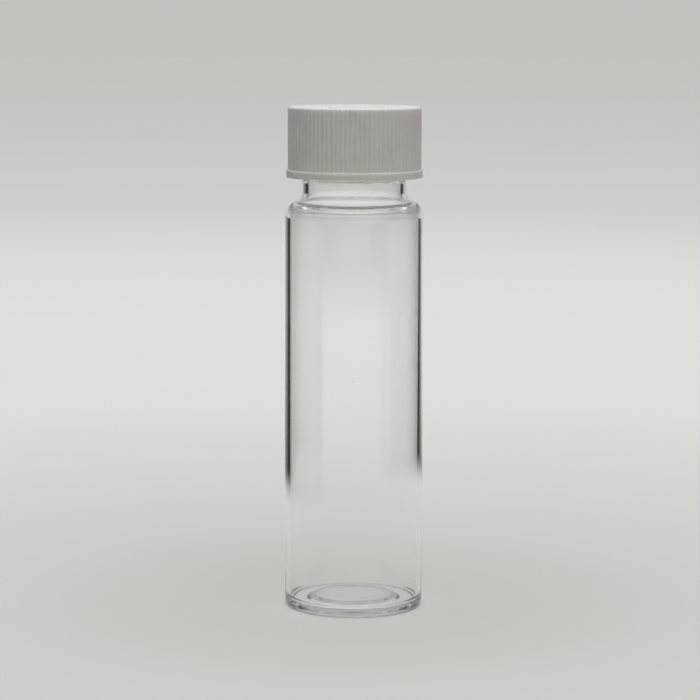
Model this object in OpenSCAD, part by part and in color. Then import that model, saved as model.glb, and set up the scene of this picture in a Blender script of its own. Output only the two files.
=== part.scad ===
// A 40 ml glass sample vial with a screw finish, its ribbed cap and the sealing disc inside the cap.
// Millimetres, +Z up. The origin is the middle of the base, on the surface that the vial stands on.

/* [Glass body] */
// Outside diameter of the body
body_d = 27.3; // [23:0.1:36]
// Height of the glass, from the surface it stands on to the rim
glass_h = 95; // [55:0.5:140]
// Wall of the body
body_wall = 1.0; // [0.7:0.05:1.5]
// Thickness of the floor over the standing ring
floor_t = 1.5; // [1:0.1:2.5]
// Radius of the outside heel, where the wall meets the base
heel_r = 0.95; // [0.4:0.05:1.6]
// Radius of the inside corner, where the wall meets the floor
floor_corner_r = 1.2; // [0.6:0.05:1.8]
// Width of the flat ring that the vial stands on
standing_w = 3.3; // [2:0.1:5]
// Width of the slope between the standing ring and the raised middle
slope_w = 2.0; // [1:0.1:3]
// Height that the underside rises in the middle
underside_rise = 0.7; // [0.2:0.05:1.1]
// Height that the floor rises in the middle
floor_rise = 0.6; // [0.2:0.05:1.1]

/* [Shoulder and neck] */
// Radius of the shoulder's outside curve
shoulder_r = 3.0; // [2.2:0.1:4.5]
// Height of the shoulder's curves, as a share of their radii
shoulder_stretch = 1.2; // [1:0.05:1.4]
// Radius of the outside curve at the foot of the neck
neck_foot_r = 1.5; // [0.6:0.1:1.6]
// Wall of the neck
neck_wall = 1.15; // [0.8:0.05:1.6]
// Height of the straight neck, between its foot and the flare
neck_h = 2.14; // [2:0.01:6]
// Height of the flare, where the neck widens into the screw finish
flare_h = 0.55; // [0.4:0.05:1.2]
// Distance that the screw finish stands out past the neck
flare_step = 0.425; // [0.2:0.025:1]

/* [Screw finish] */
// Height of the screw finish, from the flare to the rim
finish_h = 10.05; // [9:0.05:14]
// Height of the thread above the wall of the finish
thread_rise = 1.15; // [0.8:0.05:1.4]
// Rise of the thread in one turn
thread_pitch = 3.175; // [2.8:0.005:3.6]
// Turns of thread on the glass
thread_turns = 1.25; // [1:0.05:1.5]
// Width of the glass thread at its foot
thread_w = 2.0; // [1.4:0.05:2.2]
// Distance from the rim down to the middle of the thread's upper end
thread_drop = 2.1; // [1.7:0.05:2.6]
// Radius of the rim's outer edge
rim_outer_r = 0.7; // [0.3:0.05:0.9]
// Radius of the rim's inner edge
rim_inner_r = 0.5; // [0.2:0.05:0.7]

/* [Cap] */
// Height of the cap
cap_h = 13.8; // [13.2:0.1:16]
// Thickness of the cap's top
cap_top_t = 2.1; // [1.2:0.1:3]
// Wall of the cap between its ribs
cap_wall = 0.9; // [0.7:0.02:1.4]
// Radius of the cap's top edge
cap_edge_r = 0.55; // [0.25:0.05:1]
// Number of grip ribs
rib_count = 86; // [60:1:96]
// Height of a rib
rib_rise = 0.17; // [0.15:0.01:0.34]
// Radius of a rib's rounded crest
rib_r = 0.36; // [0.34:0.01:0.42]
// Height of the smooth band round the cap's lower edge
band_h = 1.5; // [0.8:0.1:2.5]
// Distance that the band stands out past the ribs
band_rise = 0.28; // [0.1:0.02:0.5]
// Size of the chamfer on the band's two edges
band_chamfer = 0.12; // [0.05:0.01:0.3]
// Height of the lead-in chamfer inside the cap's mouth
mouth_chamfer = 0.4; // [0.2:0.05:0.6]
// Turns of thread in the cap
cap_thread_turns = 1.15; // [0.9:0.05:1.25]
// Angle by which the cap's thread starts before the glass thread
cap_thread_lead = 90; // [60:5:120]

/* [Sealing disc] */
// Thickness of the sealing disc
liner_t = 1.8; // [1:0.1:2.6]

/* [Clearances] */
// Distance that the cap's band stands in from the body's side
cap_setback = 0.3; // [0:0.05:3]
// Radial gap between each thread's crest and the wall it faces
thread_gap = 0.2; // [0.15:0.01:0.3]
// Gap along the axis between the flanks of the two threads
flank_gap = 0.2; // [0.15:0.01:0.3]
// Radial gap between the sealing disc and the cap's inside wall
liner_gap = 0.5; // [0.3:0.05:0.8]

/* [Hidden] */
$fn = 96;
// Steps in each arc of an outline
arc_steps = 8;
// Angle between two cross-sections of a thread
ring_angle = 7.5;
// Angle over which a thread runs out at each end
fade_angle = 45;
// Depth that a thread ridge is rooted in its wall
sink = 0.3;
// Power of the cosine that rounds a ridge's cross-section
crest_power = 0.7;
// Distance that a cutting shape runs past what it cuts
overrun = 1;

body_r = body_d / 2;
inside_r = body_r - body_wall;

// From the cap's band, in line with the body's side, in to the bore of the neck
band_r = body_r - cap_setback;
rib_crest_r = band_r - band_rise;
rib_root_r = rib_crest_r - rib_rise;
cavity_r = rib_root_r - cap_wall;
thread_r = cavity_r - thread_gap;
root_r = thread_r - thread_rise;
neck_r = root_r - flare_step;
bore_r = neck_r - neck_wall;
cap_crest_r = root_r + thread_gap;
liner_r = cavity_r - liner_gap;

standing_r = body_r - heel_r - standing_w;
middle_r = standing_r - slope_w;

flare_z = glass_h - finish_h - flare_h;
neck_z = flare_z - neck_h;
shoulder_reach = shoulder_r + neck_foot_r;
shoulder_cr = body_r - shoulder_r;
inner_shoulder_r = shoulder_r - body_wall;
inner_foot_r = neck_foot_r + body_wall;
foot_cr = neck_r + neck_foot_r;
inner_foot_cr = bore_r + inner_foot_r;
lean = asin(max(0, foot_cr - shoulder_cr) / shoulder_reach);
inner_lean = asin(max(0, inner_foot_cr - shoulder_cr) / shoulder_reach);
shoulder_z = neck_z - shoulder_stretch * shoulder_reach * cos(lean);
inner_foot_z = shoulder_z + shoulder_stretch * shoulder_reach * cos(inner_lean);

thread_top_z = glass_h - thread_drop;
thread_z = thread_top_z - thread_turns * thread_pitch;

seat_z = glass_h + liner_t;
cap_top_z = seat_z + cap_top_t;
cap_z = cap_top_z - cap_h;
// Share of a ridge's height, from its rooted foot, at which the flanks of the two threads come closest
near_rise = (sink + (thread_rise + thread_gap) / 2) / (sink + thread_rise);
cap_thread_w = (thread_pitch - 2 * flank_gap) / ridge_share(near_rise) - thread_w;
cap_thread_z = thread_z - thread_pitch / 2 - thread_pitch * cap_thread_lead / 360;

// Points on an arc about [cr, cz], from angle a to angle b, drawn out in height where stretch isn't 1
function arc(cr, cz, r, a, b, stretch = 1) =
    [for (i = [0:arc_steps]) let (t = a + (b - a) * i / arc_steps) [cr + r * cos(t), cz + stretch * r * sin(t)]];

// 0 to 1 with level ends
function ease(t) = (1 - cos(180 * t)) / 2;

// A smooth step between two levels, level at both ends
function level_step(p, q) =
    [for (i = [0:arc_steps]) let (t = i / arc_steps) [p.x + (q.x - p.x) * t, p.y + (q.y - p.y) * ease(t)]];

// A smooth step between two radii, upright at both ends
function upright_step(p, q) =
    [for (i = [0:arc_steps]) let (t = i / arc_steps) [p.x + (q.x - p.x) * ease(t), p.y + (q.y - p.y) * t]];

// Width of a ridge at a share of its height, as a share of the width at its foot
function ridge_share(rise) = sin(acos(pow(rise, 1 / crest_power)));

// One cross-section of a thread ridge, standing at an angle round the axis
function ridge_ring(angle, z, foot_r, crest_r, foot_w) =
    [for (u = [-90:30:90])
        let (r = foot_r + (crest_r - foot_r) * pow(max(0, cos(u)), crest_power))
        [r * cos(angle), r * sin(angle), z + foot_w / 2 * sin(u)]];

// 0 at both ends of the thread, 1 along its full stretch
function fade(angle, sweep) = ease(min(1, min(angle, sweep - angle) / fade_angle));

// A right-hand thread ridge on a wall of radius wall_r, rising to crest_r, with both ends run out.
// It stands inwards where crest_r is the smaller radius.
module thread_ridge(wall_r, crest_r, foot_w, turns, start_angle, start_z) {
    sweep = 360 * turns;
    count = ceil(sweep / ring_angle);
    side = sign(crest_r - wall_r);
    foot_r = wall_r - side * sink;
    low_r = wall_r - side * sink / 2;
    rings = [for (i = [0:count])
        let (angle = sweep * i / count)
        ridge_ring(start_angle + angle, start_z + thread_pitch * angle / 360,
                   foot_r, low_r + (crest_r - low_r) * fade(angle, sweep), foot_w)];
    width = len(rings[0]);
    skin = [for (i = [0:count - 1], j = [0:width - 1], half = [0, 1])
        let (a = i * width + j, b = i * width + (j + 1) % width)
        half == 0 ? [a, b, b + width] : [a, b + width, a + width]];
    near_end = [for (j = [width - 1:-1:0]) j];
    far_end = [for (j = [0:width - 1]) count * width + j];
    faces = concat(skin, [near_end, far_end]);
    polyhedron(
        points = [for (ring = rings, p = ring) p],
        faces = side < 0 ? [for (f = faces) [for (k = [len(f) - 1:-1:0]) f[k]]] : faces);
}

module glass_outline() {
    polygon(concat(
        // Underside, heel and shoulder
        [[0, underside_rise]],
        level_step([middle_r, underside_rise], [standing_r, 0]),
        arc(body_r - heel_r, heel_r, heel_r, -90, 0),
        arc(shoulder_cr, shoulder_z, shoulder_r, 0, 90 - lean, shoulder_stretch),
        // Neck, flare and rim
        arc(foot_cr, neck_z, neck_foot_r, 270 - lean, 180, shoulder_stretch),
        upright_step([neck_r, flare_z], [root_r, flare_z + flare_h]),
        arc(root_r - rim_outer_r, glass_h - rim_outer_r, rim_outer_r, 0, 90),
        arc(bore_r + rim_inner_r, glass_h - rim_inner_r, rim_inner_r, 90, 180),
        // Inside, from the bore down to the floor
        arc(inner_foot_cr, inner_foot_z, inner_foot_r, 180, 270 - inner_lean, shoulder_stretch),
        arc(shoulder_cr, shoulder_z, inner_shoulder_r, 90 - inner_lean, 0, shoulder_stretch),
        arc(inside_r - floor_corner_r, floor_t + floor_corner_r, floor_corner_r, 0, -90),
        level_step([standing_r, floor_t], [middle_r, floor_t + floor_rise]),
        [[0, floor_t + floor_rise]]));
}

module glass_vial() {
    color([0.85, 0.92, 0.9, 0.4]) {
        rotate_extrude() glass_outline();
        thread_ridge(root_r, thread_r, thread_w, thread_turns, 0, thread_z);
    }
}

module rib_outline() {
    circle(r = rib_root_r);
    for (i = [0:rib_count - 1])
        rotate(360 * i / rib_count) translate([rib_crest_r - rib_r, 0]) circle(r = rib_r, $fn = 24);
}

// The cap's outside, with its rounded top edge
module cap_envelope() {
    rotate_extrude()
        polygon(concat(
            [[0, cap_z], [rib_crest_r + overrun, cap_z]],
            [[rib_crest_r + overrun, cap_top_z - cap_edge_r]],
            arc(rib_crest_r - cap_edge_r, cap_top_z - cap_edge_r, cap_edge_r, 0, 90),
            [[0, cap_top_z]]));
}

module cap_band() {
    rotate_extrude()
        polygon([
            [cavity_r, cap_z],
            [band_r - band_chamfer, cap_z],
            [band_r, cap_z + band_chamfer],
            [band_r, cap_z + band_h - band_chamfer],
            [band_r - band_chamfer, cap_z + band_h],
            [cavity_r, cap_z + band_h]]);
}

// The space inside the cap, up to the face that the sealing disc lies against
module cap_cavity() {
    rotate_extrude()
        polygon([
            [0, cap_z - overrun],
            [cavity_r + mouth_chamfer, cap_z - overrun],
            [cavity_r + mouth_chamfer, cap_z],
            [cavity_r, cap_z + mouth_chamfer],
            [cavity_r, seat_z],
            [0, seat_z]]);
}

module screw_cap() {
    color("whitesmoke") {
        difference() {
            union() {
                intersection() {
                    translate([0, 0, cap_z]) linear_extrude(cap_h) rib_outline();
                    cap_envelope();
                }
                cap_band();
            }
            cap_cavity();
        }
        thread_ridge(cavity_r, cap_crest_r, cap_thread_w, cap_thread_turns,
                     -cap_thread_lead, cap_thread_z);
    }
}

module cap_liner() {
    color("ivory") translate([0, 0, glass_h]) cylinder(r = liner_r, h = liner_t);
}

glass_vial();
screw_cap();
cap_liner();
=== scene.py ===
# Glass sample vial with a ribbed screw cap and a sealing disc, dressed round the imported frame.
# Lengths are millimetres in the dictionaries of the three pieces and metres in the studio's.
# Angles are degrees. Everything in Blender is metres.

from math import asin, cos, degrees, pi, radians, sin

import bpy
import numpy as np
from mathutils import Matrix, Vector


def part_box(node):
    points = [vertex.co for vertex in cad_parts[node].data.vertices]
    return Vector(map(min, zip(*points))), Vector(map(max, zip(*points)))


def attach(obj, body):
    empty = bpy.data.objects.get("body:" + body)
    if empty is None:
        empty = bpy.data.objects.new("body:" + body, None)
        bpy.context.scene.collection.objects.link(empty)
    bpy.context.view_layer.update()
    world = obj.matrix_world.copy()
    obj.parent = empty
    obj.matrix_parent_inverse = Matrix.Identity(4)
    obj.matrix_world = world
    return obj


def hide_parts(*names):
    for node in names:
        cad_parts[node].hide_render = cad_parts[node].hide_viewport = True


mm = 0.001

print("vial: loading the frame")
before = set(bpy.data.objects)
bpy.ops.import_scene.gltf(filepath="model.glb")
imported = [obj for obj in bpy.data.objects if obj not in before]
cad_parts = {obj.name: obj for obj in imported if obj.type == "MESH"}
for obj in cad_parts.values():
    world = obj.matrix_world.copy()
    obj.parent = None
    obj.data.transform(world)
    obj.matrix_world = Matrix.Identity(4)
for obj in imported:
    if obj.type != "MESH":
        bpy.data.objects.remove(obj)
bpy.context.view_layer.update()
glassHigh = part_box("glass_vial")[1]
capLow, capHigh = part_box("screw_cap")
discLow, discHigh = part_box("cap_liner")


def arcPoints(centreR, centreZ, radius, fromAngle, toAngle, steps, stretch=1):
    # stretch draws the arc out in height
    angles = [radians(fromAngle + (toAngle - fromAngle) * i / steps) for i in range(steps + 1)]
    return [(centreR + radius * cos(a), centreZ + radius * stretch * sin(a)) for a in angles]


def linePoints(start, end, steps):
    # the start is left out, because the point before it is already there
    return [(start[0] + (end[0] - start[0]) * i / steps,
             start[1] + (end[1] - start[1]) * i / steps) for i in range(1, steps + 1)]


def ease(t):
    return (1 - cos(pi * t)) / 2


def levelStep(start, end, steps):
    # a smooth step between two heights, level at both ends
    return [(start[0] + (end[0] - start[0]) * i / steps,
             start[1] + (end[1] - start[1]) * ease(i / steps)) for i in range(steps + 1)]


def uprightStep(start, end, steps):
    # a smooth step between two radii, upright at both ends
    return [(start[0] + (end[0] - start[0]) * ease(i / steps),
             start[1] + (end[1] - start[1]) * i / steps) for i in range(steps + 1)]


def softStep(low, high, value):
    t = np.clip((value - low) / (high - low), 0, 1)
    return t * t * (3 - 2 * t)


def threadHeight(angles, z, thread):
    # how far a right-hand thread stands off its wall, at each angle of one row.
    # footEnd, crestEnd and crown shape its profile, counted in half widths from its middle.
    height = np.zeros_like(angles)
    sweep = 360 * thread["turns"]
    halfWidth = thread["width"] / 2
    for turn in range(-1, 3):  # enough turns to cover the whole thread, wherever it starts
        along = np.degrees(angles) - thread["startAngle"] + 360 * turn
        offset = np.abs(z - thread["startHeight"] - thread["pitch"] * along / 360) / halfWidth
        crown = softStep(thread["footEnd"], thread["crestEnd"], offset) * (1 - thread["crown"] * offset ** 2)
        fade = softStep(0, thread["fadeAngle"], along) * softStep(0, thread["fadeAngle"], sweep - along)
        height = np.maximum(height, thread["rise"] * crown * fade)
    return height


def turnedMesh(name, rows, segments, radiusAt):
    # rows run from the axis back to the axis, with the solid on their inner side
    angles = np.arange(segments) * 2 * pi / segments
    points = [(0, 0, rows[0][1])]
    for r, z, shape in rows[1:-1]:
        radii = radiusAt(angles, r, z, shape)
        points += list(zip(radii * np.cos(angles), radii * np.sin(angles), np.full(segments, z)))
    points.append((0, 0, rows[-1][1]))
    rings = len(rows) - 2
    last = len(points) - 1
    faces = []
    for j in range(segments):
        k = (j + 1) % segments
        faces.append((0, 1 + k, 1 + j))
        for i in range(rings - 1):
            a, b = 1 + i * segments, 1 + (i + 1) * segments
            faces.append((a + j, a + k, b + k, b + j))
        top = 1 + (rings - 1) * segments
        faces.append((top + j, top + k, last))
    mesh = bpy.data.meshes.new(name)
    mesh.from_pydata([Vector(p) * mm for p in points], [], faces)
    mesh.shade_smooth()
    mesh.update()
    piece = bpy.data.objects.new(name, mesh)
    bpy.context.scene.collection.objects.link(piece)
    return piece


def rowsOf(points, shape=""):
    return [(r, z, shape) for r, z in points]


def plainRadius(angles, r, z, shape):
    return np.full_like(angles, r)


def screenColour(red, green, blue):
    # 0 to 255 as a screen shows it, in scene linear
    def linear(v):
        v /= 255
        return v / 12.92 if v <= 0.04045 else ((v + 0.055) / 1.055) ** 2.4
    return (linear(red), linear(green), linear(blue), 1)


def grey(value):
    return (value, value, value, 1)


def addNode(tree, kind, place, inputs=None, **settings):
    node = tree.nodes.new(kind)
    node.location = (place[0] * 200, place[1] * 200)  # one step of place is 200 units of the node editor
    for key, value in settings.items():
        setattr(node, key, value)
    for key, value in (inputs or {}).items():
        if isinstance(value, bpy.types.NodeSocket):
            tree.links.new(value, node.inputs[key])
        else:
            node.inputs[key].default_value = value
    return node


def addGroup(tree, place, group, inputs):
    return addNode(tree, "ShaderNodeGroup", place, inputs, node_tree=group)


def calc(tree, place, operation, *values, clamp=False):
    inputs = dict(enumerate(values))
    return addNode(tree, "ShaderNodeMath", place, inputs, operation=operation, use_clamp=clamp).outputs[0]


def smoothMask(tree, place, value, low, high, atLow=0.0, atHigh=1.0):
    inputs = {"Value": value, "From Min": low, "From Max": high, "To Min": atLow, "To Max": atHigh}
    return addNode(tree, "ShaderNodeMapRange", place, inputs, interpolation_type="SMOOTHSTEP").outputs[0]


def mixValues(tree, place, share, a, b):
    return addNode(tree, "ShaderNodeMix", place, {0: share, 2: a, 3: b}, data_type="FLOAT").outputs[0]


def mixColours(tree, place, share, a, b):
    node = addNode(tree, "ShaderNodeMix", place, data_type="RGBA")
    for socket, value in (("Factor_Float", share), ("A_Color", a), ("B_Color", b)):
        into = next(s for s in node.inputs if s.identifier == socket)
        if isinstance(value, bpy.types.NodeSocket):
            tree.links.new(value, into)
        else:
            into.default_value = value
    return next(s for s in node.outputs if s.identifier == "Result_Color")


def scaleColour(tree, place, colour, scale):
    inputs = {0: colour, "Scale": scale}
    return addNode(tree, "ShaderNodeVectorMath", place, inputs, operation="SCALE").outputs[0]


def axisDistance(tree, place, position):
    # how far a position is from the vial's axis
    level = addNode(tree, "ShaderNodeVectorMath", (place[0] - 1, place[1]), {0: position, 1: (1, 1, 0)},
                    operation="MULTIPLY")
    distance = addNode(tree, "ShaderNodeVectorMath", place, {0: level.outputs[0]}, operation="LENGTH")
    return distance.outputs["Value"]


def newMaterial(name):
    material = bpy.data.materials.new(name)
    material.use_nodes = True
    material.node_tree.nodes.clear()
    return material, material.node_tree


def newGroup(name, inputs, outputs):
    group = bpy.data.node_groups.new(name, "ShaderNodeTree")
    for label, kind, value in inputs:
        socket = group.interface.new_socket(name=label, in_out="INPUT", socket_type=kind)
        if value is not None:
            socket.default_value = value
    for label in outputs:
        group.interface.new_socket(name=label, in_out="OUTPUT", socket_type="NodeSocketFloat")
    start = addNode(group, "NodeGroupInput", (-5, 0))
    end = addNode(group, "NodeGroupOutput", (5, 0))
    return group, start.outputs, end.inputs


print("vial: node groups")
noiseRange = (0.3, 0.7)  # where nearly all of a noise lies


def makeFineGrain():
    # a fine grain over a broad, soft mottling
    group, given, result = newGroup("fineGrain", [
        ("Vector", "NodeSocketVector", None), ("Grain Scale", "NodeSocketFloat", 2000.0),
        ("Mottle Scale", "NodeSocketFloat", 120.0), ("Mottle Share", "NodeSocketFloat", 0.5),
    ], ["Grain", "Mottle", "Both"])
    grain = addNode(group, "ShaderNodeTexNoise", (-3, 1), {
        "Vector": given["Vector"], "Scale": given["Grain Scale"], "Detail": 2.0, "Roughness": 0.6})
    mottle = addNode(group, "ShaderNodeTexNoise", (-3, -1), {
        "Vector": given["Vector"], "Scale": given["Mottle Scale"], "Detail": 3.0, "Roughness": 0.5})
    both = mixValues(group, (1, 0), given["Mottle Share"], grain.outputs[0], mottle.outputs[0])
    group.links.new(grain.outputs[0], result["Grain"])
    group.links.new(mottle.outputs[0], result["Mottle"])
    group.links.new(both, result["Both"])
    return group


def makeHandling():
    # sparse dust specks and faint rubbed patches from handling
    group, given, result = newGroup("handling", [
        ("Vector", "NodeSocketVector", None), ("Speck Scale", "NodeSocketFloat", 150.0),
        ("Speck Size", "NodeSocketFloat", 0.06), ("Rub Scale", "NodeSocketFloat", 90.0),
        ("Rub Amount", "NodeSocketFloat", 0.5),
    ], ["Specks", "Rubs"])
    cells = addNode(group, "ShaderNodeTexVoronoi", (-3, 1), {
        "Vector": given["Vector"], "Scale": given["Speck Scale"]})
    near = calc(group, (-1, 1), "LESS_THAN", cells.outputs["Distance"], given["Speck Size"])
    chance = addNode(group, "ShaderNodeSeparateColor", (-1, 2), {"Color": cells.outputs["Color"]}).outputs[0]
    speckless = 0.93  # the share of the cells that hold no speck
    rubFrom, rubTo = 0.5, 0.75  # the heights of the noise where a rubbed patch begins and is full
    specks = calc(group, (1, 1), "MULTIPLY", near, calc(group, (0, 2), "GREATER_THAN", chance, speckless))
    patches = addNode(group, "ShaderNodeTexNoise", (-3, -1), {
        "Vector": given["Vector"], "Scale": given["Rub Scale"], "Detail": 4.0, "Roughness": 0.65})
    soft = smoothMask(group, (-1, -1), patches.outputs[0], rubFrom, rubTo)
    group.links.new(specks, result["Specks"])
    group.links.new(calc(group, (1, -1), "MULTIPLY", soft, given["Rub Amount"]), result["Rubs"])
    return group


fineGrain = makeFineGrain()
handling = makeHandling()

# the glass: its outer radius and its height come from the frame
glass = {
    "bodyWall": 1.0, "floorThickness": 1.5, "heelRadius": 0.95, "floorCornerRadius": 1.2,
    "standingWidth": 3.3, "slopeWidth": 2.0, "undersideRise": 0.7, "floorRise": 0.6,
    "shoulderRadius": 3.0, "neckFootRadius": 1.5, "stretch": 1.2,  # stretch draws both curves out in height
    "neckRadius": 10.225, "neckWall": 1.15, "neckHeight": 2.14, "flareHeight": 0.55,
    "finishHeight": 10.05, "finishRadius": 10.65, "rimOuterRadius": 0.7, "rimInnerRadius": 0.5,
    "threadRowStep": 0.12, "segments": 256,
    "thread": {
        "pitch": 3.175, "turns": 1.25, "width": 2.0, "rise": 1.15, "startAngle": 0, "startHeight": 88.931,
        "fadeAngle": 45, "footEnd": 1.1, "crestEnd": 0.55, "crown": 0.12,
    },
    "ior": 1.47, "tint": (0.985, 0.993, 0.988, 1), "shadowTint": (0.945, 0.955, 0.95, 1),
    "streakScale": 420.0, "streakStretch": 0.02, "streakDepth": 0.0006, "streakStrength": 0.25,
    "marks": {"Speck Scale": 260.0, "Speck Size": 0.05, "Rub Scale": 60.0, "Rub Amount": 0.03},
    "speckRoughness": 0.35,
    # the scratch starts at a height, so far round to the right of the front
    "scratch": {
        "foot": 56.1, "height": 4.2, "aside": 8.45, "lean": 1.7, "bend": 0.1, "width": 0.16, "radius": 13.65,
        "skin": 0.5, "depth": 0.02, "roughness": 0.3,
        "fullWidth": 0.2, "fullFrom": 0.15, "fullTo": 0.7,  # shares of its width and of its height
    },
}


def glassRows(sizes):
    bodyRadius, top = glassHigh.x / mm, glassHigh.z / mm
    wall, neck = sizes["bodyWall"], sizes["neckRadius"]
    insideRadius = bodyRadius - wall
    bore = neck - sizes["neckWall"]
    standing = bodyRadius - sizes["heelRadius"] - sizes["standingWidth"]
    middle = standing - sizes["slopeWidth"]
    flareFoot = top - sizes["finishHeight"] - sizes["flareHeight"]
    neckFoot = flareFoot - sizes["neckHeight"]

    # the shoulder and the curve at the neck's foot meet on a line that leans out a little
    shoulderRadius, stretch = sizes["shoulderRadius"], sizes["stretch"]
    reach = shoulderRadius + sizes["neckFootRadius"]
    shoulderCentre = bodyRadius - shoulderRadius
    footCentre = neck + sizes["neckFootRadius"]
    innerFootRadius = sizes["neckFootRadius"] + wall
    innerFootCentre = bore + innerFootRadius
    lean = degrees(asin(max(0, footCentre - shoulderCentre) / reach))
    innerLean = degrees(asin(max(0, innerFootCentre - shoulderCentre) / reach))
    shoulderHeight = neckFoot - stretch * reach * cos(radians(lean))
    innerFootHeight = shoulderHeight + stretch * reach * cos(radians(innerLean))

    heel, underside = sizes["heelRadius"], sizes["undersideRise"]
    outside = [(0, underside), (middle / 2, underside)]
    outside += levelStep((middle, underside), (standing, 0), steps=14)
    outside += linePoints((standing, 0), (bodyRadius - heel, 0), steps=3)[:-1]
    outside += arcPoints(bodyRadius - heel, heel, heel, -90, 0, steps=14)
    outside += linePoints((bodyRadius, heel), (bodyRadius, shoulderHeight), steps=16)[:-1]
    outside += arcPoints(shoulderCentre, shoulderHeight, shoulderRadius, 0, 90 - lean, 26, stretch)
    outside += arcPoints(footCentre, neckFoot, sizes["neckFootRadius"], 270 - lean, 180, 16, stretch)[1:]
    outside += linePoints((neck, neckFoot), (neck, flareFoot), steps=4)[:-1]
    finish = sizes["finishRadius"]
    finishFoot = flareFoot + sizes["flareHeight"]
    outside += uprightStep((neck, flareFoot), (finish, finishFoot), steps=10)

    rimOuter, rimInner = sizes["rimOuterRadius"], sizes["rimInnerRadius"]
    finishTop = top - rimOuter
    steps = round((finishTop - finishFoot) / sizes["threadRowStep"])
    threaded = linePoints((finish, finishFoot), (finish, finishTop), steps)

    corner, floor = sizes["floorCornerRadius"], sizes["floorThickness"]
    inside = arcPoints(finish - rimOuter, top - rimOuter, rimOuter, 0, 90, steps=10)[1:]
    inside += arcPoints(bore + rimInner, top - rimInner, rimInner, 90, 180, steps=10)
    inside += linePoints((bore, top - rimInner), (bore, innerFootHeight), steps=8)[:-1]
    inside += arcPoints(innerFootCentre, innerFootHeight, innerFootRadius, 180, 270 - innerLean, 20, stretch)
    inside += arcPoints(shoulderCentre, shoulderHeight, shoulderRadius - wall, 90 - innerLean, 0,
                        20, stretch)[1:]
    inside += linePoints((insideRadius, shoulderHeight), (insideRadius, floor + corner), steps=16)[:-1]
    inside += arcPoints(insideRadius - corner, floor + corner, corner, 0, -90, steps=14)
    inside += levelStep((standing, floor), (middle, floor + sizes["floorRise"]), steps=14)
    inside += [(middle / 2, floor + sizes["floorRise"]), (0, floor + sizes["floorRise"])]
    return rowsOf(outside) + rowsOf(threaded, "thread") + rowsOf(inside)


def glassRadius(angles, r, z, shape):
    radii = plainRadius(angles, r, z, shape)
    return radii + threadHeight(angles, z, glass["thread"]) if shape == "thread" else radii


def scratchMask(tree, position, mark):
    # one short slanted scratch in the outside of the wall, to the right of the front
    east, north, height = addNode(tree, "ShaderNodeSeparateXYZ", (-12, 5), {0: position}).outputs
    frontAngle = calc(tree, (-10, 6), "ARCTAN2", east, calc(tree, (-11, 6), "MULTIPLY", north, -1.0))
    aside = calc(tree, (-9, 6), "MULTIPLY", frontAngle, mark["radius"] * mm)
    above = calc(tree, (-11, 5), "SUBTRACT", height, mark["foot"] * mm)
    along = calc(tree, (-10, 5), "DIVIDE", above, mark["height"] * mm)
    straight = calc(tree, (-9, 5), "MULTIPLY_ADD", along, mark["lean"] * mm, mark["aside"] * mm)
    bow = calc(tree, (-9, 4), "SINE", calc(tree, (-10, 4), "MULTIPLY", along, 2 * pi))
    middle = calc(tree, (-8, 5), "MULTIPLY_ADD", bow, mark["bend"] * mm, straight)
    offset = calc(tree, (-7, 5), "ABSOLUTE", calc(tree, (-8, 6), "SUBTRACT", aside, middle))
    line = smoothMask(tree, (-6, 5), offset, mark["fullWidth"] * mark["width"] * mm, mark["width"] / 2 * mm,
                      1.0, 0.0)
    ends = calc(tree, (-5, 4), "MULTIPLY", smoothMask(tree, (-6, 4), along, 0.0, mark["fullFrom"]),
                smoothMask(tree, (-6, 3), along, mark["fullTo"], 1.0, 1.0, 0.0))
    outer = calc(tree, (-5, 3), "GREATER_THAN", axisDistance(tree, (-7, 3), position),
                 (mark["radius"] - mark["skin"]) * mm)
    return calc(tree, (-3, 4), "MULTIPLY", calc(tree, (-4, 5), "MULTIPLY", line, ends), outer)


def makeGlassMaterial(looks):
    material, tree = newMaterial("clearGlass")
    position = addNode(tree, "ShaderNodeTexCoord", (-8, 0)).outputs["Object"]

    # draw streaks: noise that changes fast round the wall and slowly along it
    along = (1, 1, looks["streakStretch"])
    stretched = addNode(tree, "ShaderNodeVectorMath", (-6, -2), {0: position, 1: along}, operation="MULTIPLY")
    streaks = addNode(tree, "ShaderNodeTexNoise", (-5, -2), {
        "Vector": stretched.outputs[0], "Scale": looks["streakScale"], "Detail": 2.0})
    bump = addNode(tree, "ShaderNodeBump", (-2, -2), {
        "Height": streaks.outputs[0], "Strength": looks["streakStrength"],
        "Distance": looks["streakDepth"] * mm})
    marks = addGroup(tree, (-5, 1), handling, {"Vector": position, **looks["marks"]}).outputs
    haze = calc(tree, (-3, 1), "MULTIPLY_ADD", marks["Specks"], looks["speckRoughness"], marks["Rubs"])
    scratch = scratchMask(tree, position, looks["scratch"])
    haze = calc(tree, (-2, 1), "MULTIPLY_ADD", scratch, looks["scratch"]["roughness"], haze)
    groove = addNode(tree, "ShaderNodeBump", (-1, -2), {
        "Height": scratch, "Strength": 1.0, "Distance": -looks["scratch"]["depth"] * mm,
        "Normal": bump.outputs[0]})
    clear = addNode(tree, "ShaderNodeBsdfPrincipled", (0, 0), {
        "Base Color": looks["tint"], "Roughness": haze, "IOR": looks["ior"], "Transmission Weight": 1.0,
        "Normal": groove.outputs[0]})

    # lamps shine through, with the little that the walls take
    through = addNode(tree, "ShaderNodeBsdfTransparent", (0, -3), {"Color": looks["shadowTint"]})
    path = addNode(tree, "ShaderNodeLightPath", (0, 3))
    mixed = addNode(tree, "ShaderNodeMixShader", (2, 0), {
        0: path.outputs["Is Shadow Ray"], 1: clear.outputs[0], 2: through.outputs[0]})
    addNode(tree, "ShaderNodeOutputMaterial", (4, 0), {"Surface": mixed.outputs[0]})
    return material


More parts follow.
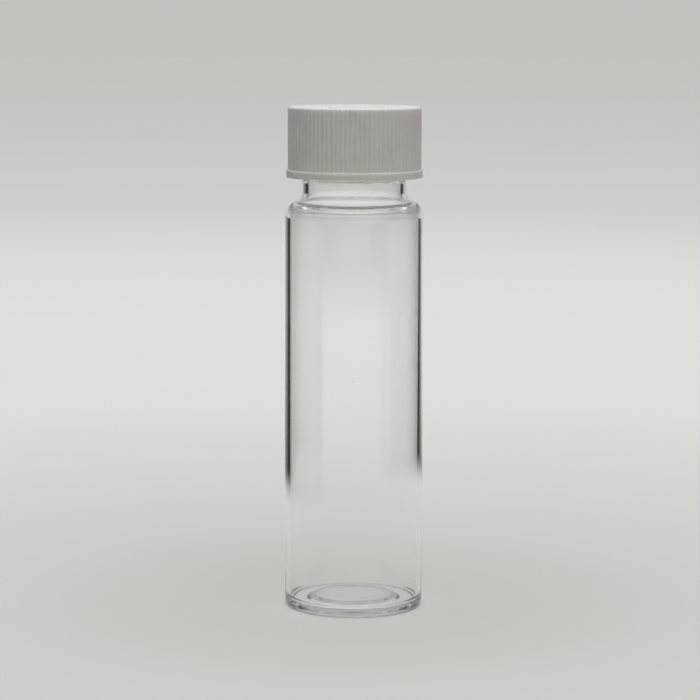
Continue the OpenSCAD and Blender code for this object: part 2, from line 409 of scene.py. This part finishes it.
print("vial: glass")
glassVial = turnedMesh("glassVial", glassRows(glass), glass["segments"], glassRadius)
glassVial.data.materials.append(makeGlassMaterial(glass))
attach(glassVial, "vial")
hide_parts("glass_vial")

# the cap: the radius of its band, its foot and its top come from the frame
cap = {
    "topThickness": 2.1, "wall": 0.94, "topEdge": 0.55, "ribCount": 86, "ribRise": 0.13, "ribRound": 0.36,
    "bandHeight": 1.5, "bandRise": 0.28, "bandEdge": 0.08, "mouthChamfer": 0.4, "seatCorner": 0.35,
    "threadRowStep": 0.16, "stepsPerRib": 8, "sharpAngle": 50,
    # rings that keep the flat faces even, as shares of a radius or of the ribs' height
    "seatRings": (0.5, 0.9), "topRings": (0.75, 0.4), "ribRings": (0.35, 0.7, 0.97),
    # rings beside the corners, which keep them tight
    "ribFootOut": 0.02, "ribFootRings": (0.03, 0.12), "topInset": 0.12,
    "mouthRing": (0.06, 0.05), "mouthFlat": 0.08, "footFlat": 0.1,
    "thread": {
        "pitch": 3.175, "turns": 1.15, "width": 1.37, "rise": 1.15, "startAngle": -90, "startHeight": 86.55,
        "fadeAngle": 45, "footEnd": 1.1, "crestEnd": 0.45, "crown": 0.15,
    },
    # bore is painted light: a whiter colour for the cap's inside and the underside of its top, for the light
    # inside the cap
    "colour": screenColour(226, 224, 219), "bore": screenColour(246, 246, 243), "ior": 1.49, "shine": 0.3,
    "roughness": 0.46, "roughnessRange": 0.14, "rubRoughness": -0.12,
    "grainDepth": 0.004, "grainStrength": 0.5, "bloom": 1.0, "bloomRadius": 1.2,
    "darkestMottle": 0.965, "speckDarkness": -0.12,
    "boreBlur": 0.1, "topSkin": (1.1, 1.0),  # how softly the whiter bore ends in the wall and under the top
    "grain": {"Grain Scale": 5200.0, "Mottle Scale": 210.0, "Mottle Share": 0.35},
    "marks": {"Speck Scale": 420.0, "Speck Size": 0.07, "Rub Scale": 160.0, "Rub Amount": 0.35},
}


def capRows(sizes):
    top, foot = capHigh.z / mm, capLow.z / mm
    band = capHigh.x / mm
    crest = band - sizes["bandRise"]
    cavity = crest - sizes["ribRise"] - sizes["wall"]
    seat = top - sizes["topThickness"]
    edge, corner = sizes["topEdge"], sizes["seatCorner"]
    ledge = foot + sizes["bandHeight"]
    chamfer = sizes["bandEdge"]
    mouth = cavity + sizes["mouthChamfer"]
    ringIn, ringUp = sizes["mouthRing"]

    rows = rowsOf([(cavity * share, seat) for share in (0, *sizes["seatRings"])])
    rows += rowsOf(arcPoints(cavity - corner, seat - corner, corner, 90, 0, steps=5))
    threadFoot = foot + sizes["mouthChamfer"]
    steps = round((seat - corner - threadFoot) / sizes["threadRowStep"])
    rows += rowsOf(linePoints((cavity, seat - corner), (cavity, threadFoot), steps), "thread")
    rows += rowsOf([(mouth - ringIn, foot + ringUp), (mouth, foot), (mouth + sizes["mouthFlat"], foot)])
    rows += rowsOf([(band - chamfer - sizes["footFlat"], foot)])
    rows += rowsOf(arcPoints(band - chamfer, foot + chamfer, chamfer, -90, 0, steps=4))
    rows += rowsOf(arcPoints(band - chamfer, ledge - chamfer, chamfer, 0, 90, steps=5))

    # the ribs rise from the ledge and run out under the rounded top edge
    rows += [(crest + sizes["ribFootOut"], ledge, "ribFoot")]
    rows += rowsOf([(crest, ledge + height) for height in sizes["ribFootRings"]], "ribs")
    rows += rowsOf([(crest, ledge + (top - edge - ledge) * share) for share in sizes["ribRings"]], "ribs")
    rows += rowsOf(arcPoints(crest - edge, top - edge, edge, 0, 90, steps=10), "ribs")
    rows += rowsOf([(crest - edge - sizes["topInset"], top)])
    rows += rowsOf([(crest * share, top) for share in (*sizes["topRings"], 0)])
    return rows


def ribRadius(angles, crest, sizes):
    # rounded ribs on a plain wall: a ray from the axis meets the rib's round side
    root = crest - sizes["ribRise"]
    centre = crest - sizes["ribRound"]
    pitch = 2 * pi / sizes["ribCount"]
    off = (angles + pitch / 2) % pitch - pitch / 2
    inside = sizes["ribRound"] ** 2 - (centre * np.sin(off)) ** 2
    rounded = centre * np.cos(off) + np.sqrt(np.maximum(inside, 0))
    return np.where(inside > 0, np.maximum(rounded, root), root)


def capRadius(angles, r, z, shape):
    crest = capHigh.x / mm - cap["bandRise"]
    if shape == "thread":
        return r - threadHeight(angles, z, cap["thread"])
    if shape == "ribs":
        return np.minimum(ribRadius(angles, crest, cap), r)
    if shape == "ribFoot":
        return ribRadius(angles, crest, cap) + (r - crest)
    return plainRadius(angles, r, z, shape)


def makeCapMaterial(looks):
    material, tree = newMaterial("whitePlastic")
    position = addNode(tree, "ShaderNodeTexCoord", (-8, 0)).outputs["Object"]
    grain = addGroup(tree, (-6, 0), fineGrain, {"Vector": position, **looks["grain"]}).outputs
    marks = addGroup(tree, (-6, 2), handling, {"Vector": position, **looks["marks"]}).outputs
    tone = smoothMask(tree, (-4, 3), grain["Mottle"], *noiseRange, looks["darkestMottle"], 1.0)
    tone = calc(tree, (-4, 2), "MULTIPLY_ADD", marks["Specks"], looks["speckDarkness"], tone)

    # painted light: the bore and the underside of the top are painted whiter than the outside, for the light
    # inside the cap
    skin = capHigh.x - (looks["bandRise"] + looks["ribRise"] + looks["wall"] / 2) * mm
    blur = looks["boreBlur"] * mm
    outer = smoothMask(tree, (-5, 4), axisDistance(tree, (-6, 4), position), skin - blur, skin + blur)
    height = addNode(tree, "ShaderNodeSeparateXYZ", (-6, 5), {0: position}).outputs[2]
    topFrom, topTo = (capHigh.z - depth * mm for depth in looks["topSkin"])
    outsideOrTop = calc(tree, (-4, 4), "MAXIMUM", outer, smoothMask(tree, (-5, 5), height, topFrom, topTo))
    plain = mixColours(tree, (-3, 4), outsideOrTop, looks["bore"], looks["colour"])

    rough = calc(tree, (-4, 0), "MULTIPLY_ADD", grain["Both"], looks["roughnessRange"],
                 looks["roughness"] - looks["roughnessRange"] / 2)
    rough = calc(tree, (-2, 0), "MULTIPLY_ADD", marks["Rubs"], looks["rubRoughness"], rough)
    bump = addNode(tree, "ShaderNodeBump", (-2, -2), {
        "Height": grain["Both"], "Strength": looks["grainStrength"], "Distance": looks["grainDepth"] * mm})
    plastic = addNode(tree, "ShaderNodeBsdfPrincipled", (0, 0), {
        "Base Color": scaleColour(tree, (-2, 2), plain, tone), "Roughness": rough, "IOR": looks["ior"],
        "Normal": bump.outputs[0], "Specular IOR Level": looks["shine"], "Subsurface Weight": looks["bloom"],
        "Subsurface Radius": (1.0, 1.0, 1.0), "Subsurface Scale": looks["bloomRadius"] * mm})
    addNode(tree, "ShaderNodeOutputMaterial", (3, 0), {"Surface": plastic.outputs[0]})
    return material


print("vial: cap")
screwCap = turnedMesh("screwCap", capRows(cap), cap["ribCount"] * cap["stepsPerRib"], capRadius)
screwCap.data.set_sharp_from_angle(angle=radians(cap["sharpAngle"]))
screwCap.data.materials.append(makeCapMaterial(cap))
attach(screwCap, "cap")
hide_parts("screw_cap")

# the sealing disc: its radius and its faces come from the frame, and the glass rim has marked it
disc = {
    "edge": 0.12, "rimMark": 0.05, "rimMarkInner": 9.45, "rimMarkOuter": 10.1, "rimMarkSlope": 0.2,
    "segments": 256, "sharpAngle": 50,
    "darker": screenColour(236, 235, 229), "paler": screenColour(245, 244, 240), "ior": 1.45,
    "roughness": (0.55, 0.72), "grainDepth": 0.01, "grainStrength": 0.6,
    "grain": {"Grain Scale": 3200.0, "Mottle Scale": 300.0, "Mottle Share": 0.3},
}


def discRows(sizes):
    low, high = discLow.z / mm, discHigh.z / mm
    radius = discHigh.x / mm
    edge, mark, slope = sizes["edge"], sizes["rimMark"], sizes["rimMarkSlope"]
    inner, outer = sizes["rimMarkInner"], sizes["rimMarkOuter"]
    points = [(0, low), (inner / 2, low)]
    points += levelStep((inner - slope, low), (inner, low + mark), steps=5)
    points += levelStep((outer, low + mark), (outer + slope, low), steps=5)
    points += arcPoints(radius - edge, low + edge, edge, -90, 0, steps=6)
    points += arcPoints(radius - edge, high - edge, edge, 0, 90, steps=6)
    points += [(radius / 2, high), (0, high)]
    return rowsOf(points)


def makeDiscMaterial(looks):
    material, tree = newMaterial("linerFoam")
    position = addNode(tree, "ShaderNodeTexCoord", (-8, 0)).outputs["Object"]
    grain = addGroup(tree, (-6, 0), fineGrain, {"Vector": position, **looks["grain"]}).outputs
    tone = smoothMask(tree, (-4, 2), grain["Both"], *noiseRange)
    shade = mixColours(tree, (-2, 2), tone, looks["darker"], looks["paler"])
    rough = smoothMask(tree, (-4, 0), grain["Mottle"], *noiseRange, *looks["roughness"])
    bump = addNode(tree, "ShaderNodeBump", (-2, -2), {
        "Height": grain["Both"], "Strength": looks["grainStrength"], "Distance": looks["grainDepth"] * mm})
    foam = addNode(tree, "ShaderNodeBsdfPrincipled", (0, 0), {
        "Base Color": shade, "Roughness": rough, "IOR": looks["ior"], "Normal": bump.outputs[0]})
    addNode(tree, "ShaderNodeOutputMaterial", (3, 0), {"Surface": foam.outputs[0]})
    return material


print("vial: sealing disc")
capLiner = turnedMesh("capLiner", discRows(disc), disc["segments"], plainRadius)
capLiner.data.set_sharp_from_angle(angle=radians(disc["sharpAngle"]))
capLiner.data.materials.append(makeDiscMaterial(disc))
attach(capLiner, "liner")
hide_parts("cap_liner")

# floor, backdrop, light and camera. Directions are angles from the back, and positive ones run to the right.
# The lamps' turns and frontAngle are counted from the front.
studio = {
    "dark": 0.02, "fill": 0.07, "backdrop": screenColour(195, 195, 190),
    "paper": {
        "radius": 8.0, "sides": 96, "drop": 0.00003,  # it lies a hair under the vial
        # the plain round that the vial stands in, and the wide arms, which reach armAngle to each side
        "near": 0.152, "nearSoftness": 0.026, "nearShift": 0.023,
        "turn": 1.5, "softness": 1.5, "armAngle": 29.5,
        # the narrow arms start at crossAngle from the nearest axis, and at crossAngleFar past crossReach
        "crossAngle": 40, "crossAngleFar": 42, "crossReach": 0.45, "crossBlend": 1.3,
        # past openReach, and past openFrom to each side of the back, there are no gaps
        "openReach": 1.02, "openBlend": 1.12, "openFrom": 100,
        "contact": 0.55, "contactInner": (0.0126, 0.01295), "contactOuter": (0.0132, 0.01365),
        "bounce": 0.5, "bounceWithin": 3.2,  # what matt parts get of its light, straight and by way of glass
        "grain": {"Grain Scale": 1500.0, "Mottle Scale": 8.0, "Mottle Share": 0.5},
        "grainTones": (0.992, 1.008),
        "rampMiddle": 0.4,  # the distance at the middle of the tones
        # distance from the vial, with the paper's tone there: the darker tones under the vial and close round
        # it are painted shade, and the rise and fall further out is painted light falling off over the paper
        "tones": [
            (0.0, (176, 176, 173)), (0.0125, (176, 176, 173)), (0.0142, (194, 193, 188)),
            (0.04, (199, 198, 193)), (0.075, (204, 203, 199)), (0.12, (209, 208, 204)),
            (0.167, (213, 212, 208)), (0.27, (220, 221, 216)), (0.48, (223, 224, 219)),
            (0.80, (217, 218, 213)), (1.06, (207, 208, 203)), (2.0, (199, 200, 195)), (4.5, (195, 195, 190)),
        ],
    },
    # the paper as glass mirrors it. narrowing is what the back's half width loses at a metre.
    "mirrored": {
        "turn": 6, "backAngle": 24, "narrowing": 2.6, "sideShare": 0.3,
        "frontTurn": -5.5, "frontAngle": 59.5, "frontSoftness": 7, "frontReach": 0.42, "frontEnd": 0.82,
    },
    "sky": {
        "sideFrom": 44, "sideTo": 125, "sideSoftness": 7, "sideTop": 0.6, "sideTopSoftness": 0.1,
        # height of a direction, with the colour that the glass finds there
        "tones": [
            (0.0, (196, 196, 191)), (0.04, (206, 206, 201)), (0.1, (200, 200, 196)),
            (0.165, (183, 183, 179)), (0.22, (168, 168, 165)), (0.27, (162, 162, 159)),
            (0.31, (152, 152, 149)), (0.36, (160, 160, 157)), (0.43, (169, 169, 166)),
            (0.58, (174, 174, 171)), (0.68, (160, 160, 157)), (0.735, (92, 92, 91)),
            (0.8, (140, 140, 138)), (0.88, (184, 184, 180)), (0.94, (196, 196, 192)),
        ],
    },
    "lamps": {
        "overheadSoftbox": {"angle": 72, "strength": 2.83, "tip": 4, "turn": 15},
        "windowLight": {"angle": 60, "strength": 0.42, "tip": 74, "turn": 24},
    },
    "camera": {"lens": 130.3, "place": (-0.00097, -0.4964, 0.1150), "tilt": 82.65, "lean": -0.16},
    "bounces": {"all": 64, "glass": 60, "matt": 8},
}


def hasPassed(tree, place, path, kind, count=1):
    # whether the light's path has met that kind of surface at least so many times
    return calc(tree, place, "GREATER_THAN", path.outputs[kind + " Depth"], count - 0.5)


def paleShare(tree, x, y, distance, near):
    # how much pale paper lies in a direction: all of it near the vial, and past that in arms along X and Y,
    # with narrower ones between them. What glass mirrors finds a wide bright front and dimmer sides.
    paper, mirrored = studio["paper"], studio["mirrored"]
    soft = radians(paper["softness"])
    path = addNode(tree, "ShaderNodeLightPath", (-6, 5))
    angle = calc(tree, (-9, 1), "ARCTAN2", x, y)

    def below(place, value, limit):
        over = calc(tree, (place[0] - 1, place[1]), "SUBTRACT", value, limit)
        return smoothMask(tree, place, over, -soft, soft, 1.0, 0.0)

    def fold(place, turn, most):
        # the angle from the turned back, folded back and forth between 0 and most
        turned = calc(tree, (place[0] - 1, place[1]), "SUBTRACT", angle, radians(turn))
        return calc(tree, place, "PINGPONG", turned, most)

    offAxis = fold((-7, 0), paper["turn"], pi / 4)
    nearby = smoothMask(tree, (-6, -1), near, paper["near"] - paper["nearSoftness"],
                        paper["near"] + paper["nearSoftness"], 1.0, 0.0)
    arms = below((-5, 1), offAxis, radians(paper["armAngle"]))
    crossEnd = paper["crossReach"] * paper["crossBlend"]
    crossLimit = smoothMask(tree, (-6, 0), distance, paper["crossReach"], crossEnd,
                            radians(paper["crossAngle"]), radians(paper["crossAngleFar"]))
    cross = smoothMask(tree, (-4, 0), calc(tree, (-5, 0), "SUBTRACT", offAxis, crossLimit), -soft, soft)

    # far off and in front the paper has no gaps
    beyond = smoothMask(tree, (-4, -1), distance, paper["openReach"], paper["openReach"] * paper["openBlend"])
    openFrom = radians(paper["openFrom"])
    aside = calc(tree, (-6, -2), "ABSOLUTE", angle)
    openFront = smoothMask(tree, (-5, -2), aside, openFrom - soft, openFrom + soft)
    beyond = calc(tree, (-4, -2), "MAXIMUM", beyond, openFront)
    direct = calc(tree, (-3, 0), "MAXIMUM", calc(tree, (-4, 1), "MAXIMUM", arms, cross),
                  calc(tree, (-3, -1), "MAXIMUM", nearby, beyond))
    # only light that runs along in the wall meets the dark, and light that crosses the empty inside doesn't
    direct = calc(tree, (-2, 0), "MAXIMUM", direct, hasPassed(tree, (-4, -3), path, "Transmission", 3))

    fromBack = fold((-7, 2), mirrored["turn"], pi)
    narrowing = calc(tree, (-7, 3), "DIVIDE", radians(mirrored["narrowing"]), distance)
    backLimit = calc(tree, (-6, 3), "SUBTRACT", radians(mirrored["backAngle"]), narrowing)
    back = below((-5, 3), fromBack, backLimit)
    frontOff = fold((-7, 4), mirrored["frontTurn"], pi)
    frontLimit = pi - radians(mirrored["frontAngle"])
    blur = radians(mirrored["frontSoftness"])
    front = calc(tree, (-3, 3), "MULTIPLY",
                 smoothMask(tree, (-5, 2), frontOff, frontLimit - blur, frontLimit + blur),
                 smoothMask(tree, (-5, 4), distance, mirrored["frontReach"], mirrored["frontEnd"], 1.0, 0.0))
    sides = calc(tree, (-4, 3), "MULTIPLY", arms, mirrored["sideShare"])
    around = calc(tree, (-3, 2), "MAXIMUM", calc(tree, (-4, 4), "MAXIMUM", back, front), sides)
    reflected = calc(tree, (-2, 2), "MAXIMUM", around, nearby)
    return mixValues(tree, (-1, 1), hasPassed(tree, (-2, 4), path, "Glossy"), direct, reflected)


def darkShare(tree, pale):
    # only what the glass bends or mirrors meets the dark gaps in the paper
    path = addNode(tree, "ShaderNodeLightPath", (-1, 4)).outputs
    byGlass = calc(tree, (0, 3), "MAXIMUM", path["Is Transmission Ray"], path["Is Glossy Ray"])
    return calc(tree, (1, 2), "MULTIPLY", byGlass, calc(tree, (0, 2), "SUBTRACT", 1.0, pale))


def toneRamp(tree, place, value, tones):
    ramp = addNode(tree, "ShaderNodeValToRGB", place, {0: value})
    stops = ramp.color_ramp.elements
    stops.remove(stops[-1])
    for number, (position, tone) in enumerate(tones):
        stop = stops[0] if number == 0 else stops.new(position)
        stop.position = position
        stop.color = screenColour(*tone)
    return ramp.outputs[0]


def makeFloorMaterial(looks):
    material, tree = newMaterial("palePaper")
    position = addNode(tree, "ShaderNodeTexCoord", (-10, 0)).outputs["Object"]
    east, north, _ = addNode(tree, "ShaderNodeSeparateXYZ", (-9, 1), {0: position}).outputs
    away = addNode(tree, "ShaderNodeVectorMath", (-9, -3), {0: position}, operation="LENGTH").outputs["Value"]
    middle = looks["rampMiddle"]
    share = calc(tree, (-7, -3), "DIVIDE", away, calc(tree, (-8, -3), "ADD", away, middle))
    # the tone ramp paints shade under and round the vial, and the light falling off further out
    tones = [(metres / (metres + middle), tone) for metres, tone in looks["tones"]]
    ramp = toneRamp(tree, (-6, -4), share, tones)
    grain = addGroup(tree, (-6, -6), fineGrain, {"Vector": position, **looks["grain"]}).outputs["Both"]
    grained = smoothMask(tree, (-4, -6), grain, *noiseRange, *looks["grainTones"])
    paper = scaleColour(tree, (-3, -4), ramp, grained)

    # the narrow shade where the glass stands
    contact = calc(tree, (-2, -6), "MULTIPLY", smoothMask(tree, (-3, -6), away, *looks["contactInner"]),
                   smoothMask(tree, (-3, -7), away, *looks["contactOuter"], looks["contact"], 0.0))
    paper = mixColours(tree, (-1, -4), contact, paper, grey(studio["dark"]))

    near = addNode(tree, "ShaderNodeVectorMath", (-8, -1), {0: position, 1: (looks["nearShift"], 0, 0)},
                   operation="DISTANCE").outputs["Value"]
    pale = paleShare(tree, east, north, away, near)
    shown = mixColours(tree, (2, 0), darkShare(tree, pale), paper, grey(studio["dark"]))

    # matt parts get less light from the paper than it shows itself, but more where glass lies on the way
    path = addNode(tree, "ShaderNodeLightPath", (1, -3))
    thrown = mixValues(tree, (3, -3), hasPassed(tree, (2, -3), path, "Transmission"),
                       looks["bounce"], looks["bounceWithin"])
    thrown = mixValues(tree, (4, -2), hasPassed(tree, (2, -2), path, "Diffuse"), 1.0, thrown)
    matte = addNode(tree, "ShaderNodeBsdfDiffuse", (3, 0), {
        "Color": scaleColour(tree, (3, 1), shown, thrown), "Roughness": 0.0})
    addNode(tree, "ShaderNodeOutputMaterial", (4, 0), {"Surface": matte.outputs[0]})
    return material


def makeFloor(sizes):
    mesh = bpy.data.meshes.new("floor")
    angles = [2 * pi * i / sizes["sides"] for i in range(sizes["sides"])]
    ring = [Vector((cos(a), sin(a), 0)) * sizes["radius"] for a in angles]
    mesh.from_pydata(ring, [], [list(range(sizes["sides"]))])
    floor = bpy.data.objects.new("floor", mesh)
    floor.location.z = -sizes["drop"]
    bpy.context.scene.collection.objects.link(floor)
    mesh.materials.append(makeFloorMaterial(sizes))


def makeWorld(sky):
    world = bpy.data.worlds.new("studioWorld")
    bpy.context.scene.world = world
    world.use_nodes = True
    tree = world.node_tree
    tree.nodes.clear()
    toward = addNode(tree, "ShaderNodeTexCoord", (-10, 0)).outputs["Generated"]
    east, north, height = addNode(tree, "ShaderNodeSeparateXYZ", (-9, 0), {0: toward}).outputs
    tone = toneRamp(tree, (-4, 2), height, sky["tones"])

    # glass finds the room dark on both sides, up to a height
    fromBack = calc(tree, (-7, 0), "ABSOLUTE", calc(tree, (-8, 0), "ARCTAN2", east, north))
    sideFrom, sideTo, soft = (radians(sky[key]) for key in ("sideFrom", "sideTo", "sideSoftness"))
    side = calc(tree, (-4, 0), "MULTIPLY", smoothMask(tree, (-5, 0), fromBack, sideFrom - soft, sideFrom),
                smoothMask(tree, (-5, -1), fromBack, sideTo, sideTo + soft, 1.0, 0.0))
    under = smoothMask(tree, (-5, -2), height, sky["sideTop"] - sky["sideTopSoftness"],
                       sky["sideTop"] + sky["sideTopSoftness"], 1.0, 0.0)
    dark = calc(tree, (-3, 0), "MULTIPLY", side, under)
    room = mixColours(tree, (-2, 1), dark, tone, grey(studio["dark"]))

    # the camera sees an even backdrop, and matt parts get a weak even fill
    path = addNode(tree, "ShaderNodeLightPath", (0, -3)).outputs
    seen = calc(tree, (1, -2), "ADD", path["Is Camera Ray"], path["Is Transmission Ray"])
    seen = calc(tree, (2, -2), "ADD", seen, path["Is Glossy Ray"], clamp=True)
    seen = calc(tree, (3, -2), "MULTIPLY", seen, calc(tree, (1, -3), "LESS_THAN", path["Diffuse Depth"], 0.5))
    backdrop = mixColours(tree, (3, 1), path["Is Camera Ray"], room, studio["backdrop"])
    colour = mixColours(tree, (4, 0), seen, grey(studio["fill"]), backdrop)
    light = addNode(tree, "ShaderNodeBackground", (5, 0), {"Color": colour, "Strength": 1.0})
    addNode(tree, "ShaderNodeOutputWorld", (6, 0), {"Surface": light.outputs[0]})


def makeLamp(name, angle, strength, tip, turn):
    lamp = bpy.data.lights.new(name, "SUN")
    lamp.energy = strength
    lamp.angle = radians(angle)
    holder = bpy.data.objects.new(name, lamp)
    tip, turn = radians(tip), radians(turn)
    toward = Vector((sin(tip) * sin(turn), -sin(tip) * cos(turn), cos(tip)))
    holder.rotation_euler = toward.to_track_quat("Z", "Y").to_euler()
    holder.visible_transmission = False  # its light already comes through the glass as clear shadow
    bpy.context.scene.collection.objects.link(holder)


def makeCamera(view):
    lens = bpy.data.cameras.new("camera")
    lens.lens = view["lens"]
    camera = bpy.data.objects.new("camera", lens)
    camera.location = view["place"]
    camera.rotation_euler = (radians(view["tilt"]), radians(view["lean"]), 0)
    bpy.context.scene.collection.objects.link(camera)
    bpy.context.scene.camera = camera


def setBounces(limits):
    # light runs far inside the thick rims of the glass
    cycles = bpy.context.scene.cycles
    cycles.max_bounces = limits["all"]
    cycles.transmission_bounces = limits["glass"]
    cycles.glossy_bounces = limits["glass"]
    cycles.diffuse_bounces = limits["matt"]


print("vial: studio")
makeFloor(studio["paper"])
makeWorld(studio["sky"])
for lampName, lampSettings in studio["lamps"].items():
    makeLamp(lampName, **lampSettings)
setBounces(studio["bounces"])
makeCamera(studio["camera"])
bpy.context.scene.view_settings.view_transform = "Standard"

print("vial: done")
